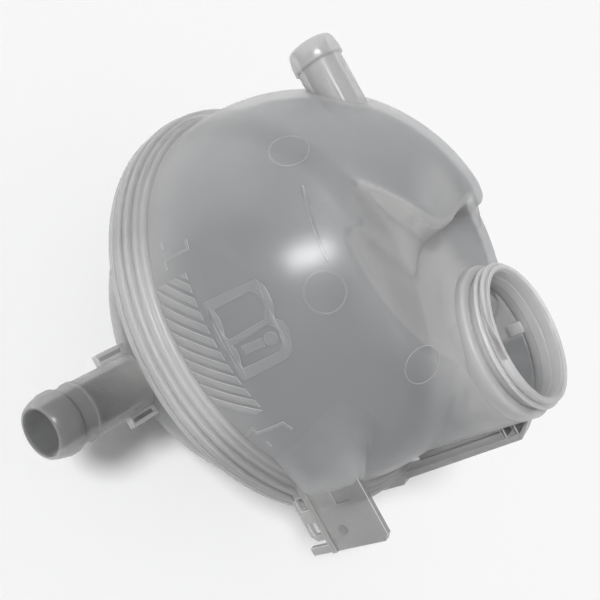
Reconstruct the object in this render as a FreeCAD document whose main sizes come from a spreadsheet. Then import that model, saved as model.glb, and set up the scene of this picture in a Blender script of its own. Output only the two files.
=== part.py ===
import FreeCAD, Part
import os
import Sketcher
from FreeCAD import Placement, Rotation, Vector

# A ball-shaped coolant overflow tank: two welded half shells, a filler neck in a cap well,
# two hose spigots, a hook bracket and a guide rail. The row's origin is the seat of the
# hook's slot, +Z is up, and the filler neck opens upwards.

doc = FreeCAD.newDocument("coolant_tank")
sheet = doc.addObject("Spreadsheet::Sheet", "sizes")

driving_sizes = {
    # shells
    "ball_radius": 75.5,
    "shell_wall": 3,
    "weld_drop": 7.5,
    # where the slot's seat lies inside the ball's outermost reach towards +X and -Y
    "slot_side_inset": 0.3,
    "slot_front_inset": 18.8,
    # cap well, its two ledges and the tongue between them
    "well_depth": 18.5,
    "ledge_rise": 4,
    "well_gap": 20,
    "tongue_half_angle": 31,
    "ledge_half_angle": 41,
    "corner_radius": 10,
    "crest_radius": 2.5,
    "column_fillet": 8,
    # weld flanges
    "flange_overhang": 6.5,
    "lower_flange_height": 2.2,
    "bead_inset": 0.8,
    "bead_height": 0.8,
    "upper_flange_height": 3,
    "groove_inset": 1.6,
    "groove_height": 1,
    "ridge_inset": 0.8,
    "ridge_height": 2,
    "land_inset": 3,
    "land_height": 3.6,
    # filler neck
    "neck_y": 5,
    "column_proud": 0.5,
    "collar_wall": 3,
    "collar_height": 4.6,
    "neck_length": 12.5,
    "thread_root_radius": 25,
    "neck_wall": 2.5,
    "seal_land_length": 8,
    "mouth_chamfer": 0.8,
    "neck_seat_inset": 0.5,
    "thread_relief": 0.4,
    # vent spigot, which leaves the ball towards -X
    "vent_drop": 24.5,
    "vent_tip_inset": 1.5,
    "vent_radius": 8.3,
    "vent_bore_radius": 6,
    "vent_barb_radius": 9.1,
    "vent_barb_length": 7.6,
    "vent_barb_land": 3,
    "vent_tip_radius": 8,
    # outlet spigot, which leaves the ball towards -Y
    "outlet_x": -2,
    "outlet_drop": 30.7,
    "outlet_length": 33.5,
    "outlet_radius": 9.6,
    "outlet_bore_radius": 7.2,
    "outlet_barb_radius": 10.6,
    "outlet_barb_length": 8.5,
    "outlet_barb_land": 2.5,
    "outlet_tip_radius": 8.8,
    "stop_bead_offset": 5,
    "stop_bead_width": 1.6,
    "stop_bead_rise": 0.5,
    "barb_back_slope": 1,
    # gussets beside the outlet spigot
    "gusset_half_width": 13.5,
    "gusset_length": 4.5,
    "gusset_thickness": 2.5,
    # hook bracket
    "slot_width": 1.8,
    "leg_width": 6,
    "leg_end_radius": 2,
    "hook_length": 9,
    "foot_thickness": 2.9,
    "plate_height": 24.2,
    "plate_thickness": 2,
    "plate_corner": 2,
    "leg_rim": 1.8,
    "window_length": 4.4,
    "window_pitch": 9.2,
    "window_end": 2.2,
    "pocket_depth": 1,
    "pocket_low": 11.3,
    "pocket_width": 6,
    "pocket_end": 11.7,
    "rib_width": 2.2,
    "rib_rise": 0.8,
    # guide rail
    "rail_standoff": 5.8,
    "rail_foot_standoff": 2.6,
    "rail_top_drop": 7,
    "rail_bottom": 5,
    "rail_width": 10,
    "rail_web_thickness": 2.4,
    "rail_flange_thickness": 2,
    "rail_rib_thickness": 1.6,
    "rail_rib_pitch": 4.6,
    "rail_end_rise": 6,
    "lug_step": 2,
    "lug_drop": 24,
    "lug_hole_radius": 1.4,
    "lug_hole_inset": 2.4,
}
for row, (alias, value) in enumerate(driving_sizes.items(), start=1):
    sheet.set("A%d" % row, alias)
    sheet.set("B%d" % row, str(value))
    sheet.setAlias("B%d" % row, alias)
doc.recompute()


# how far edges may lie from a place and still be taken as lying there
slack = 0.1


def size(expression):
    return float(sheet.evalExpression(expression))


# The ball's centre lies at the slot's height, so the slot's seat fixes it in X and Y alone.
ball_x = "(sizes.slot_side_inset - sizes.ball_radius)"
ball_y = "(sizes.ball_radius - sizes.slot_front_inset)"
flange = "(sizes.ball_radius + sizes.flange_overhang)"
floor = "(sizes.ball_radius - sizes.well_depth)"
ledge = floor + " + sizes.ledge_rise"
weld = "-sizes.weld_drop"
sky = "sizes.ball_radius + sizes.neck_length"
neck_bore = "(sizes.thread_root_radius - sizes.neck_wall)"
neck_seat = "(sizes.thread_root_radius - sizes.neck_seat_inset)"
column_radius = "(sizes.thread_root_radius + sizes.collar_wall)"
neck_x = "(sizes.ball_radius + sizes.column_proud - %s)" % column_radius
well_radius = "(%s + sizes.well_gap)" % column_radius
vent_height = "(sizes.ball_radius - sizes.vent_drop)"
vent_reach = "(sizes.ball_radius - sizes.vent_tip_inset)"
outlet_reach = "(sizes.ball_radius + sizes.outlet_length)"
gusset_reach = "(sizes.ball_radius + sizes.gusset_length)"
rail_reach = "(%s + %s + sizes.rail_standoff)" % (neck_x, column_radius)
rail_foot_reach = "(%s + sizes.rail_foot_standoff)" % flange
rail_top = "(%s - sizes.rail_top_drop)" % floor
lug_reach = "(%s + sizes.lug_step)" % rail_foot_reach


def at_ball(x="0", y="0", z="0"):
    return "%s + (%s)" % (ball_x, x), "%s + (%s)" % (ball_y, y), z


def place(piece, spot, rotation=None):
    if rotation:
        piece.Placement = Placement(Vector(), rotation)
    for axis, expression in zip("xyz", spot):
        piece.setExpression("Placement.Base." + axis, expression)


def primitive(kind, name, spot, rotation=None, **expressions):
    solid = doc.addObject("Part::" + kind, name)
    for prop, expression in expressions.items():
        solid.setExpression(prop, expression)
    place(solid, spot, rotation)
    return solid


def joined(name, *pieces):
    fuse = doc.addObject("Part::MultiFuse", name)
    fuse.Shapes = list(pieces)
    fuse.Refine = True
    return fuse


def less(name, base, *tools):
    cut = doc.addObject("Part::Cut", name)
    cut.Base = base
    cut.Tool = tools[0] if len(tools) == 1 else joined(name + "_tools", *tools)
    cut.Refine = True
    return cut


def shared(name, *pieces):
    common = doc.addObject("Part::MultiCommon", name)
    common.Shapes = list(pieces)
    common.Refine = True
    return common


def rounded(name, base, radius, is_wanted):
    doc.recompute()
    fillet = doc.addObject("Part::Fillet", name)
    fillet.Base = base
    numbered = enumerate(base.Shape.Edges, start=1)
    wanted = [number for number, edge in numbered if edge.Length > slack and is_wanted(edge, edge.BoundBox)]
    fillet.Edges = [(number, size(radius), size(radius)) for number in wanted]
    return fillet


def body_plane(body, role):
    return [feature for feature in body.Origin.OriginFeatures if feature.Role == role][0]


def outline(body, name, role, points):
    # a closed polygon whose corners are set by pairs of expressions
    sketch = body.newObject("Sketcher::SketchObject", name)
    sketch.AttachmentSupport = (body_plane(body, role), [""])
    sketch.MapMode = "FlatFace"
    corners = [Vector(size(across), size(up), 0) for across, up in points]
    for start, end in zip(corners, corners[1:] + corners[:1]):
        sketch.addGeometry(Part.LineSegment(start, end))
    for index, (across, up) in enumerate(points):
        following = (index + 1) % len(points)
        sketch.addConstraint(Sketcher.Constraint("Coincident", index, 2, following, 1))
        for kind, axis, expression in (("DistanceX", -2, across), ("DistanceY", -1, up)):
            if expression == "0":
                sketch.addConstraint(Sketcher.Constraint("PointOnObject", index, 1, axis))
                continue
            constraint = Sketcher.Constraint(kind, -1, 1, index, 1, size(expression))
            number = sketch.addConstraint(constraint)
            sketch.setExpression("Constraints[%d]" % number, expression)
    return sketch


def turned(name, points):
    # a ring or tube turned about its own Z axis
    body = doc.addObject("PartDesign::Body", name)
    sketch = outline(body, name + "_profile", "XZ_Plane", points)
    revolution = body.newObject("PartDesign::Revolution", name + "_turn")
    revolution.Profile = sketch
    revolution.ReferenceAxis = (sketch, ["V_Axis"])
    revolution.Angle = 360
    body.Tip = revolution
    return body


def ball(name, radius, turn=None):
    return primitive("Sphere", name, at_ball(), turn, Radius=radius)


def slab(name, low, high):
    # a plate wider than the tank, between two heights above the ball's centre
    half = flange + " * 1.5"
    return primitive(
        "Box", name, at_ball("-" + half, "-" + half, low),
        Length=half + " * 2", Width=half + " * 2", Height="(%s) - (%s)" % (high, low))


def neck_cylinder(name, radius, low, high):
    return primitive(
        "Cylinder", name, at_ball(neck_x, "sizes.neck_y", low),
        Radius=radius, Height="(%s) - (%s)" % (high, low))


def neck_sector(name, half_angle, low, high, inset="0"):
    # a pie slice on the -X side of the neck's axis, its flanks moved in by the inset
    back = "%s - (%s) / sin(%s * 1 deg)" % (neck_x, inset, half_angle)
    slice_ = primitive(
        "Cylinder", name, at_ball(back, "sizes.neck_y", low), Rotation(Vector(0, 0, 1), 180),
        Radius=flange + " * 3", Height="(%s) - (%s)" % (high, low),
        Angle="%s * 2" % half_angle)
    slice_.setExpression("Placement.Rotation.Angle", "180 - " + half_angle)
    return slice_


# Upper shell: a hemisphere with a cap well, a tongue of full height behind the well
# and a round column that carries the neck.
def dome(name, radius, inset):
    # the dome's solid at a depth under the outer skin
    well = neck_cylinder(name + "_well", "%s + (%s)" % (well_radius, inset), "0", sky)
    tongue_slice = neck_sector(name + "_tongue_slice", "sizes.tongue_half_angle", "0", sky, inset)
    tongue = less(name + "_tongue", tongue_slice, well)
    tongue = rounded(
        name + "_tongue_round", tongue, "sizes.corner_radius",
        lambda edge, box: box.XLength < slack and box.YLength < slack
        and box.XMax < size("%s + %s - %s / 2" % (ball_x, neck_x, well_radius))
        and box.XMin > size(ball_x + " - sizes.ball_radius"))
    ledge_slice = neck_sector(
        name + "_ledge_slice", "sizes.ledge_half_angle", "0", "%s - (%s)" % (ledge, inset), inset)
    ledges = less(name + "_ledges", ledge_slice, well)
    open_air = slab(name + "_open_air", "%s - (%s)" % (floor, inset), sky)
    recess = less(name + "_recess", open_air, tongue, ledges)
    # the sphere's poles lie on Y and its seam below, away from the well and the neck
    turn = Rotation(Vector(0, 1, 0), 90) * Rotation(Vector(1, 0, 0), -90)
    whole = ball(name + "_ball", radius, turn)
    half = shared(name + "_half", whole, slab(name + "_above_weld", weld, sky))
    return less(name, half, recess)


def on_skin(edge):
    middle = edge.valueAt((edge.FirstParameter + edge.LastParameter) / 2)
    points = [middle] + [vertex.Point for vertex in edge.Vertexes]
    centre = Vector(size(ball_x), size(ball_y), 0)
    radius = size("sizes.ball_radius")
    return all(abs(point.distanceToPoint(centre) - radius) < slack for point in points)


skin = dome("skin", "sizes.ball_radius", "0")
column = neck_cylinder("column", column_radius, weld, floor)
column_blend = rounded(
    "column_blend", joined("skin_and_column", skin, column), "sizes.column_fillet",
    lambda edge, box: box.ZMin < size(weld) + slack and box.ZMax > size(floor) - slack)
outside = rounded(
    "outside", column_blend, "sizes.crest_radius",
    lambda edge, box: on_skin(edge) and box.ZLength > slack and box.ZMin > size(ledge) - slack)
hollow = dome("hollow", "sizes.ball_radius - sizes.shell_wall", "sizes.shell_wall")
column_bore = neck_cylinder("column_bore", neck_seat, weld, floor)
vent_turn = Rotation(Vector(0, 0, 1), Vector(-1, 0, 0))
vent_bore = primitive(
    "Cylinder", "vent_bore", at_ball("-sizes.ball_radius / 2", "0", vent_height), vent_turn,
    Radius="sizes.vent_bore_radius", Height="sizes.ball_radius")
upper_shell = less("upper_shell", outside, hollow, column_bore, vent_bore)

# Lower shell: the rest of the ball, with the outlet's hole.
bowl = shared(
    "bowl", ball("bowl_ball", "sizes.ball_radius"),
    slab("below_weld", "-sizes.ball_radius", weld + " - sizes.bead_height"))
bowl_hollow = ball("bowl_hollow", "sizes.ball_radius - sizes.shell_wall")
outlet_turn = Rotation(Vector(0, 0, 1), Vector(0, -1, 0))
outlet_spot = at_ball("sizes.outlet_x", "0", "-sizes.outlet_drop")
outlet_bore = primitive(
    "Cylinder", "outlet_bore", outlet_spot, outlet_turn,
    Radius="sizes.outlet_bore_radius", Height=outlet_reach)
lower_shell = less("lower_shell", bowl, bowl_hollow, outlet_bore)

# Weld flanges around the ball and the bead of melt between them.
inside = "sizes.ball_radius - sizes.shell_wall"
flange_low = "0"
flange_top = "sizes.upper_flange_height"
groove_top = flange_top + " + sizes.groove_height"
ridge_top = groove_top + " + sizes.ridge_height"
land_top = ridge_top + " + sizes.land_height"
upper_ring = turned("upper_ring", [
    (inside, flange_low), (flange, flange_low), (flange, flange_top),
    (flange + " - sizes.groove_inset", flange_top), (flange + " - sizes.groove_inset", groove_top),
    (flange + " - sizes.ridge_inset", groove_top), (flange + " - sizes.ridge_inset", ridge_top),
    (flange + " - sizes.land_inset", ridge_top), (flange + " - sizes.land_inset", land_top), (inside, land_top)])
place(upper_ring, at_ball(z=weld))
upper_flange = less("upper_flange", upper_ring, ball("upper_ring_ball", "sizes.ball_radius"))

lower_ring = turned("lower_ring", [
    (inside, "-sizes.bead_height"), (flange, "-sizes.bead_height"),
    (flange, "-sizes.bead_height - sizes.lower_flange_height"),
    (inside, "-sizes.bead_height - sizes.lower_flange_height")])
place(lower_ring, at_ball(z=weld))
lower_flange = less("lower_flange", lower_ring, ball("lower_ring_ball", "sizes.ball_radius"))

weld_bead = turned("weld_bead", [
    (inside, "0"), (inside, "-sizes.bead_height"),
    (flange + " - sizes.bead_inset", "-sizes.bead_height"), (flange + " - sizes.bead_inset", "0")])
place(weld_bead, at_ball(z=weld))

# Filler neck: a tube with the thread's core outside and a seal bore inside, held in a
# collar on top of the column.
core = "sizes.thread_root_radius"
collar_top = "sizes.collar_height + sizes.mouth_chamfer"
neck_spot = at_ball(neck_x, "sizes.neck_y", floor)
neck_collar = turned("neck_collar", [
    (neck_seat, "0"), (column_radius, "0"), (column_radius, "sizes.collar_height"),
    (neck_seat, collar_top)])
place(neck_collar, neck_spot)

mouth_start = "sizes.neck_length - sizes.mouth_chamfer"
thread_start = collar_top + " + sizes.thread_relief"
filler_neck = turned("filler_neck", [
    (neck_seat, "0"), (neck_seat, thread_start), (core, thread_start), (core, mouth_start),
    (core + " - sizes.mouth_chamfer", "sizes.neck_length"),
    (neck_bore + " + sizes.mouth_chamfer", "sizes.neck_length"),
    (neck_bore, mouth_start), (neck_bore, mouth_start + " - sizes.seal_land_length")])
place(filler_neck, neck_spot)


def spigot(name, tip, stop_bead):
    # a hose tube with a barb at its end; the root is trimmed to the ball's skin
    part = "sizes.%s_" % name
    root = "sizes.ball_radius / 2"
    bore, tube, barb = part + "bore_radius", part + "radius", part + "barb_radius"
    barb_start = "%s - %sbarb_length" % (tip, part)
    crest = barb_start + " + sizes.barb_back_slope"
    points = [(bore, root), (tube, root)]
    if stop_bead:
        bead = "%s - sizes.stop_bead_offset" % barb_start
        proud = tube + " + sizes.stop_bead_rise"
        points += [
            (tube, bead + " - sizes.stop_bead_width"), (proud, bead + " - sizes.stop_bead_width"),
            (proud, bead), (tube, bead)]
    points += [
        (tube, barb_start), (barb, crest), (barb, "%s + %sbarb_land" % (crest, part)),
        (part + "tip_radius", tip), (bore, tip)]
    return turned(name + "_tube", points)


vent_tube = spigot("vent", vent_reach, False)
place(vent_tube, at_ball(z=vent_height), vent_turn)
vent_spigot = less("vent_spigot", vent_tube, ball("vent_seat", "sizes.ball_radius"))

outlet_tube = spigot("outlet", outlet_reach, True)
place(outlet_tube, outlet_spot, outlet_turn)
outlet_spigot = less("outlet_spigot", outlet_tube, ball("outlet_seat", "sizes.ball_radius"))


def gusset(name, side):
    # a flat web between the outlet tube and the shell; side is +1 towards +X, -1 towards -X
    start = "sizes.outlet_x" if side > 0 else "sizes.outlet_x - sizes.gusset_half_width"
    web = primitive(
        "Box", name + "_web",
        at_ball(start, "-" + gusset_reach, "-sizes.outlet_drop - sizes.gusset_thickness / 2"),
        Length="sizes.gusset_half_width", Width=gusset_reach + " - sizes.ball_radius / 2",
        Height="sizes.gusset_thickness")
    tube = primitive(
        "Cylinder", name + "_tube", outlet_spot, outlet_turn,
        Radius="sizes.outlet_radius", Height=outlet_reach)
    return less(name, web, tube, ball(name + "_seat", "sizes.ball_radius"))


outlet_gusset_left = gusset("outlet_gusset_left", -1)
outlet_gusset_right = gusset("outlet_gusset_right", 1)

# Hook bracket: a plate that leaves the dome, with a laddered leg, a slot that drops over
# a sheet edge and a hook foot. It is measured from the slot's seat.
half_slot = "sizes.slot_width / 2"
foot_out = half_slot + " + sizes.foot_thickness"
bracket_plate = doc.addObject("PartDesign::Body", "bracket_plate")
plate_outline = outline(bracket_plate, "plate_outline", "XZ_Plane", [
    (ball_x, "-sizes.leg_width"), ("-" + half_slot + " - sizes.leg_end_radius", "-sizes.leg_width"),
    ("-" + half_slot, "-sizes.leg_width + sizes.leg_end_radius"),
    ("-" + half_slot, "0"), (half_slot, "0"), (half_slot, "-sizes.hook_length"),
    (foot_out, "-sizes.hook_length"), (foot_out, "sizes.plate_height - sizes.plate_corner"),
    (foot_out + " - sizes.plate_corner", "sizes.plate_height"),
    (ball_x, "sizes.plate_height")])
plate_pad = bracket_plate.newObject("PartDesign::Pad", "plate_pad")
plate_pad.Profile = plate_outline
plate_pad.setExpression("Length", "sizes.plate_thickness")
plate_pad.Midplane = True
bracket_plate.Tip = plate_pad


def bracket_box(name, left, right, low, high, front, depth):
    # a block of the bracket; front is how far its face towards -Y lies from the plate's middle
    return primitive(
        "Box", name, (left, "-(%s)" % front, low),
        Length="(%s) - (%s)" % (right, left), Width=depth, Height="(%s) - (%s)" % (high, low))


plate_front = "sizes.plate_thickness / 2"
windows = []
for index in range(2):
    right = "-%s - sizes.window_end - %d * sizes.window_pitch" % (half_slot, index)
    windows.append(bracket_box(
        "window_%d" % index, right + " - sizes.window_length", right,
        "-sizes.leg_width + sizes.leg_rim", "-" + half_slot, "sizes.plate_thickness",
        "sizes.plate_thickness * 2"))
pocket = bracket_box(
    "pocket", ball_x, "-sizes.pocket_end", "sizes.pocket_low",
    "sizes.pocket_low + sizes.pocket_width", "sizes.plate_thickness",
    "sizes.plate_thickness / 2 + sizes.pocket_depth")
bracket_seat = [ball("bracket_ball", "sizes.ball_radius"), upper_ring, lower_ring, weld_bead]
hook_bracket = less("hook_bracket", bracket_plate, pocket, *windows, *bracket_seat)


def bracket_rib(name, low):
    # a rib along X on the plate's front
    rib = bracket_box(
        name + "_bar", ball_x, foot_out, low, low + " + sizes.rib_width",
        plate_front + " + sizes.rib_rise", "sizes.rib_rise")
    return less(name, rib, *bracket_seat)


bracket_inner_rib = bracket_rib("bracket_inner_rib", "0")

# Guide rail: a web out from the column, an upright flange along its edge that turns in at
# the top, two cross ribs and a lug that hangs past the weld flanges.
rail_front = "sizes.neck_y - sizes.rail_width / 2"
web_front = "sizes.neck_y + sizes.rail_width / 2 - sizes.rail_web_thickness"
web_out = rail_reach + " - sizes.rail_flange_thickness"
rail_low = "-sizes.rail_bottom"
ring_top = "-sizes.weld_drop + " + land_top
rail_column = neck_cylinder("rail_column", column_radius, weld, sky)
rail_seat = [ball("rail_ball", "sizes.ball_radius"), upper_ring, lower_ring, weld_bead, rail_column]


def rail_plate(name, front, thickness, points):
    # an upright plate across Y, from its front face backwards
    body = doc.addObject("PartDesign::Body", name)
    sketch = outline(body, name + "_outline", "XZ_Plane", points)
    pad = body.newObject("PartDesign::Pad", name + "_pad")
    pad.Profile = sketch
    pad.setExpression("Length", thickness)
    pad.Reversed = True
    body.Tip = pad
    place(body, at_ball(y=front))
    return body


end_top = rail_top + " + sizes.rail_end_rise"
end_in = rail_reach + " - sizes.rail_end_rise"
web_plate = rail_plate("web_plate", web_front, "sizes.rail_web_thickness", [
    (neck_x, ring_top), (flange, ring_top), (web_out, rail_top),
    (web_out + " - sizes.rail_end_rise", end_top), (neck_x, end_top)])
rail_web = less("rail_web", web_plate, *rail_seat)

flange_strip = rail_plate("flange_strip", rail_front, "sizes.rail_width", [
    (flange, ring_top), (flange, "-sizes.lug_drop"),
    (lug_reach, "-sizes.lug_drop"), (lug_reach, rail_low),
    (rail_foot_reach, rail_low + " + sizes.lug_step"),
    (rail_reach, rail_top), (end_in, end_top),
    (web_out + " - sizes.rail_end_rise", end_top), (web_out, rail_top)])
lug_hole = primitive(
    "Cylinder", "lug_hole",
    at_ball(lug_reach + " - sizes.lug_hole_inset", "-" + flange,
            "-sizes.lug_drop + sizes.lug_hole_inset"),
    Rotation(Vector(0, 0, 1), Vector(0, 1, 0)),
    Radius="sizes.lug_hole_radius", Height=flange + " * 2")
rail_flange = less("rail_flange", flange_strip, lug_hole, rail_column)


def cross_rib(name, low):
    rib = primitive(
        "Box", name + "_block", at_ball(neck_x, rail_front, low),
        Length="%s - %s" % (web_out, neck_x), Width="sizes.rail_width - sizes.rail_web_thickness",
        Height="sizes.rail_rib_thickness")
    return less(name, rib, *rail_seat)


rail_top_rib = cross_rib("rail_top_rib", rail_top + " - sizes.rail_rib_thickness")
rail_lower_rib = cross_rib(
    "rail_lower_rib", rail_top + " - sizes.rail_rib_thickness - sizes.rail_rib_pitch")

nodes = [
    upper_shell, lower_shell, upper_flange, lower_flange, weld_bead, neck_collar, filler_neck,
    vent_spigot, outlet_spigot, outlet_gusset_left, outlet_gusset_right, hook_bracket, bracket_inner_rib,
    rail_web, rail_flange, rail_top_rib, rail_lower_rib]

doc.recompute()
for item in doc.Objects:
    if "Invalid" in item.State or "Error" in item.State:
        raise RuntimeError("%s did not build: %s" % (item.Label, item.State))
for node in nodes:
    if node.Shape.isNull() or not node.Shape.isValid():
        raise RuntimeError("%s has no valid shape" % node.Label)

os.makedirs("parts", exist_ok=True)
for node in nodes:
    node.Shape.exportStep("parts/%s.step" % node.Label)
    print("%-22s %2d solids %10.1f mm3" % (node.Label, len(node.Shape.Solids), node.Shape.Volume))
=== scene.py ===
from math import asin, atan2, cos, degrees, hypot, pi, radians, sin, sqrt

import bpy
from mathutils import Matrix, Vector


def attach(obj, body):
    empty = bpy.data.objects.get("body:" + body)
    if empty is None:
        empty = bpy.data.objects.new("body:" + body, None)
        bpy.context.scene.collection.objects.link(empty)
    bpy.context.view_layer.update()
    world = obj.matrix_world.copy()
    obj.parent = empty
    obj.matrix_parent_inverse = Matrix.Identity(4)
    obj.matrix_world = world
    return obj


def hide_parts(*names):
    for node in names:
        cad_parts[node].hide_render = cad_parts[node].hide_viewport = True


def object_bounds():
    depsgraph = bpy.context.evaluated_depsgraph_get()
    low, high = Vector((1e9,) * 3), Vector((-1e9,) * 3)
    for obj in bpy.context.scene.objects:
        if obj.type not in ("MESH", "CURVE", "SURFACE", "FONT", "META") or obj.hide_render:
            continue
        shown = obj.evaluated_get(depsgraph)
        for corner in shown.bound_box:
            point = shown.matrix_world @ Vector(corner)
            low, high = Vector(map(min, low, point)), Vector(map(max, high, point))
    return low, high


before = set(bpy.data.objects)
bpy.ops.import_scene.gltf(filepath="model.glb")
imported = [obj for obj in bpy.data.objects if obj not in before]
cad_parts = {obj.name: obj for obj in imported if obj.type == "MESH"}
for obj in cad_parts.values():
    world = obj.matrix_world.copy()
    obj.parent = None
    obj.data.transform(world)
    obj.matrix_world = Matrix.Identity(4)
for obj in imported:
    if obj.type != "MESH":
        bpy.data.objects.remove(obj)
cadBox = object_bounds()
bpy.ops.object.select_all(action="DESELECT")
print("frame loaded:", len(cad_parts), "nodes")

mm = 0.001
ballCentre = Vector((-75.2, 56.7, 0.0)) * mm
ballRadius = 75.5 * mm
neckAxis = Vector((-27.2, 61.7, 0.0)) * mm
mergeReach = 1e-6
flatTurn = radians(1)
ballMesh = {"segments": 192, "ring_count": 96}


# Picking, editing and finishing pieces.

def deselect():
    if bpy.context.object and bpy.context.object.mode != "OBJECT":
        bpy.ops.object.mode_set(mode="OBJECT")
    bpy.ops.object.select_all(action="DESELECT")


def activate(piece):
    deselect()
    piece.select_set(True)
    bpy.context.view_layer.objects.active = piece


def editAll(piece):
    activate(piece)
    bpy.ops.object.mode_set(mode="EDIT")
    bpy.ops.mesh.select_all(action="SELECT")


def objectMode():
    bpy.ops.object.mode_set(mode="OBJECT")


def pickFaces(piece, wanted):
    activate(piece)
    for part in (piece.data.vertices, piece.data.edges, piece.data.polygons):
        part.foreach_set("select", [False] * len(part))
    for face in piece.data.polygons:
        face.select = bool(wanted(face))
    bpy.ops.object.mode_set(mode="EDIT")
    bpy.ops.mesh.select_mode(type="FACE")


def addModifier(piece, kind, **settings):
    modifier = piece.modifiers.new(kind.lower(), kind)
    for name, value in settings.items():
        setattr(modifier, name, value)


def applyModifiers(piece):
    activate(piece)
    for modifier in list(piece.modifiers):
        bpy.ops.object.modifier_apply(modifier=modifier.name)


def carve(piece, tool):
    addModifier(piece, "BOOLEAN", operation="DIFFERENCE", object=tool, solver="EXACT")
    applyModifiers(piece)
    bpy.data.objects.remove(tool, do_unlink=True)


def copyOfNode(node, name):
    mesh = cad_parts[node].data.copy()
    mesh.materials.clear()
    piece = bpy.data.objects.new(name, mesh)
    bpy.context.scene.collection.objects.link(piece)
    editAll(piece)
    bpy.ops.mesh.customdata_custom_splitnormals_clear()
    bpy.ops.mesh.remove_doubles(threshold=mergeReach)
    objectMode()
    return piece


def mergeFlats(piece):
    editAll(piece)
    bpy.ops.mesh.dissolve_limited(angle_limit=flatTurn)
    objectMode()


def addBall(radius):
    bpy.ops.mesh.primitive_uv_sphere_add(radius=radius, location=ballCentre, **ballMesh)
    return bpy.context.object


def lathe(name, profile, segments):
    # a closed profile of (radius, height) pairs in mm, turned about Z
    deselect()
    radius, height = profile[0]
    bpy.ops.mesh.primitive_circle_add(vertices=segments, radius=radius * mm, location=(0, 0, height * mm))
    piece = bpy.context.object
    piece.name = name
    bpy.ops.object.transform_apply(location=True)
    editAll(piece)
    for (radius, height), (nextRadius, nextHeight) in zip(profile, profile[1:]):
        rise = (nextHeight - height) * mm
        bpy.ops.mesh.extrude_region_move(TRANSFORM_OT_translate={"value": (0, 0, rise)})
        grow = nextRadius / radius
        bpy.ops.transform.resize(value=(grow, grow, 1), center_override=(0, 0, 0))
    bpy.ops.mesh.select_all(action="DESELECT")
    bpy.ops.mesh.select_mode(type="EDGE")
    bpy.ops.mesh.select_non_manifold(
        extend=False, use_wire=False, use_boundary=True, use_multi_face=False,
        use_non_contiguous=False, use_verts=False)
    bpy.ops.mesh.bridge_edge_loops()
    bpy.ops.mesh.select_all(action="SELECT")
    bpy.ops.mesh.normals_make_consistent(inside=False)
    objectMode()
    return piece


def paint(piece, *materials):
    piece.data.materials.clear()
    for material in materials:
        piece.data.materials.append(material)


def smoothShade(piece, angle=35):
    activate(piece)
    bpy.ops.object.shade_smooth_by_angle(angle=radians(angle))


softening = {"angle": radians(28), "rounds": 2, "sharp": 40}


def softenEdges(piece, width, edgeSlot=1, sharp=softening["sharp"]):
    addModifier(
        piece, "BEVEL", width=width, segments=softening["rounds"], limit_method="ANGLE",
        angle_limit=softening["angle"], material=edgeSlot)
    applyModifiers(piece)
    smoothShade(piece, sharp)


def joinAll(name, pieces):
    deselect()
    for piece in pieces:
        piece.select_set(True)
    bpy.context.view_layer.objects.active = pieces[0]
    bpy.ops.object.join()
    pieces[0].name = name
    return pieces[0]


def settle(piece, *nodes):
    activate(piece)
    bpy.ops.object.transform_apply(location=True, rotation=True, scale=True)
    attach(piece, "root")
    if nodes:
        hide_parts(*nodes)
    faces = len(piece.data.polygons)
    print("piece", piece.name, faces, "faces")


# Shader maths written as expressions.

class Wire:
    def __init__(self, tree, socket):
        self.tree = tree
        self.socket = socket

    def node(self, kind, settings, sockets, out=0):
        made = self.tree.nodes.new(kind)
        for name, value in settings.items():
            setattr(made, name, value)
        for key, value in sockets.items():
            if isinstance(value, Wire):
                self.tree.links.new(value.socket, made.inputs[key])
            else:
                made.inputs[key].default_value = value
        return Wire(self.tree, made.outputs[out])

    def maths(self, operation, *values):
        return self.node("ShaderNodeMath", {"operation": operation}, dict(enumerate(values)))

    def __add__(self, other):
        return self.maths("ADD", self, other)

    def __radd__(self, other):
        return self.maths("ADD", other, self)

    def __sub__(self, other):
        return self.maths("SUBTRACT", self, other)

    def __rsub__(self, other):
        return self.maths("SUBTRACT", other, self)

    def __mul__(self, other):
        return self.maths("MULTIPLY", self, other)

    def __rmul__(self, other):
        return self.maths("MULTIPLY", other, self)

    def __truediv__(self, other):
        return self.maths("DIVIDE", self, other)

    def __rtruediv__(self, other):
        return self.maths("DIVIDE", other, self)


def newMaterial(name):
    material = bpy.data.materials.new(name)
    material.use_nodes = True
    return material, material.node_tree.nodes["Principled BSDF"]


# Milky polypropylene, mixed between a grey and a paler colour. A piece's own wall attribute, where it has
# one,
# paints light and shade into the colour: it says how pale a point is painted, for light scattered in thick
# walls and for shade.
milk = {
    "cloudDetail": 3.0, "cloudShare": 0.6, "wallCloud": 0.25, "glossCloud": 0.1, "clearCloud": 0.1,
    "grain": 2600.0, "grainRough": 0.6, "glossGrain": 0.05, "middle": 0.5,
    "bump": 0.03, "bumpDeep": 0.4 * mm,
    "inputs": {
        "IOR": 1.49, "Subsurface Weight": 1.0, "Subsurface Radius": (1.0, 1.0, 1.0),
        "Sheen Weight": 0.12, "Sheen Roughness": 0.4}}


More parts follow.
